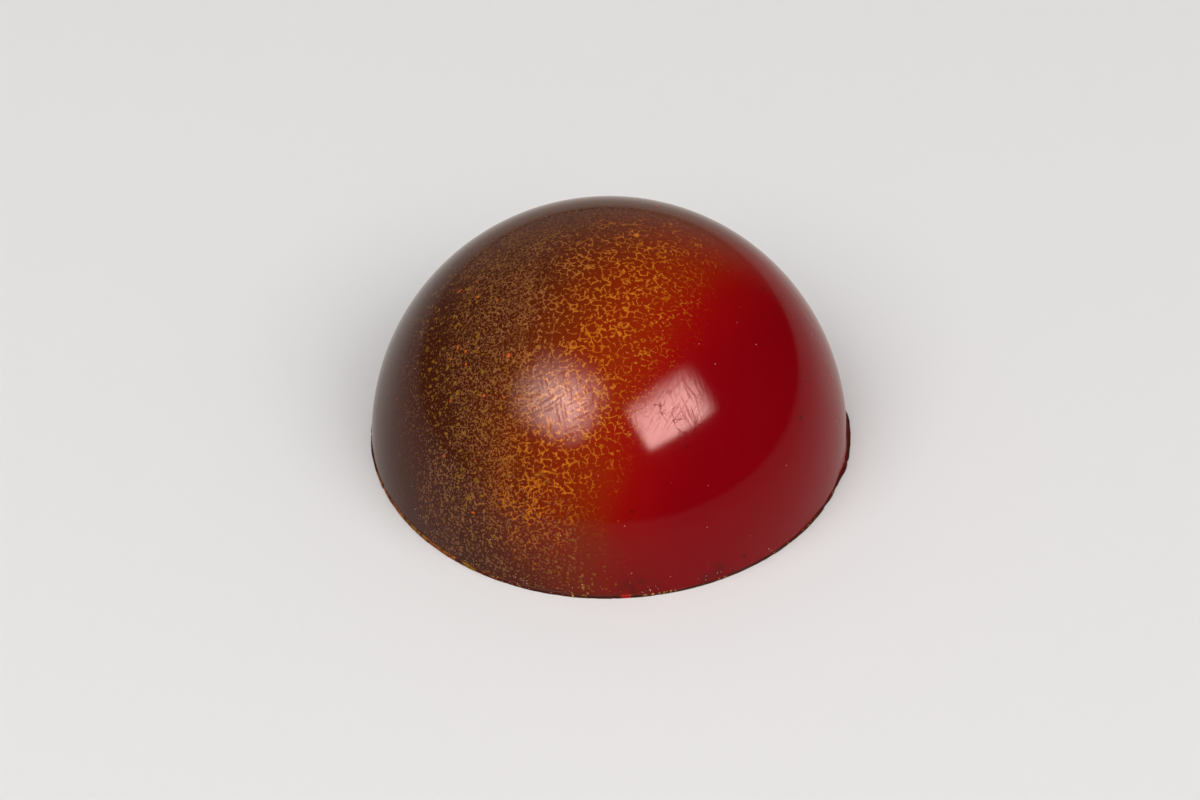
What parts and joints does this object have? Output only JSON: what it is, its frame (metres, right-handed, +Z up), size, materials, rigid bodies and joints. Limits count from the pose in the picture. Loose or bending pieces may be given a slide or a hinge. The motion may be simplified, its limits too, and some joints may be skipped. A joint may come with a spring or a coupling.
{
  "type": "chocolate praline",
  "caption": "Half-sphere moulded chocolate praline with a glossy sprayed cocoa-butter finish, running from dark brown through speckled yellow to deep red.",
  "frame": {"origin": "middle of the flat base, on the surface the praline stands on", "axes": "+Z up along the axis of the half-sphere; the red side and the small flash on the foot are towards +X, the dark brown side towards -X, and the side that faces the viewer is towards -Y"},
  "size_m": [0.0304, 0.0302, 0.015],
  "materials": {
    "sprayed_cocoa_butter": "mirror-gloss chocolate shell with sprayed yellow, orange and red cocoa butter over dark brown",
    "dark_chocolate": "bare dark chocolate, satin, scraped flat underneath and chipped along the foot"
  },
  "bodies": {
    "root": {"praline": "sprayed_cocoa_butter"}
  },
  "joints": []
}
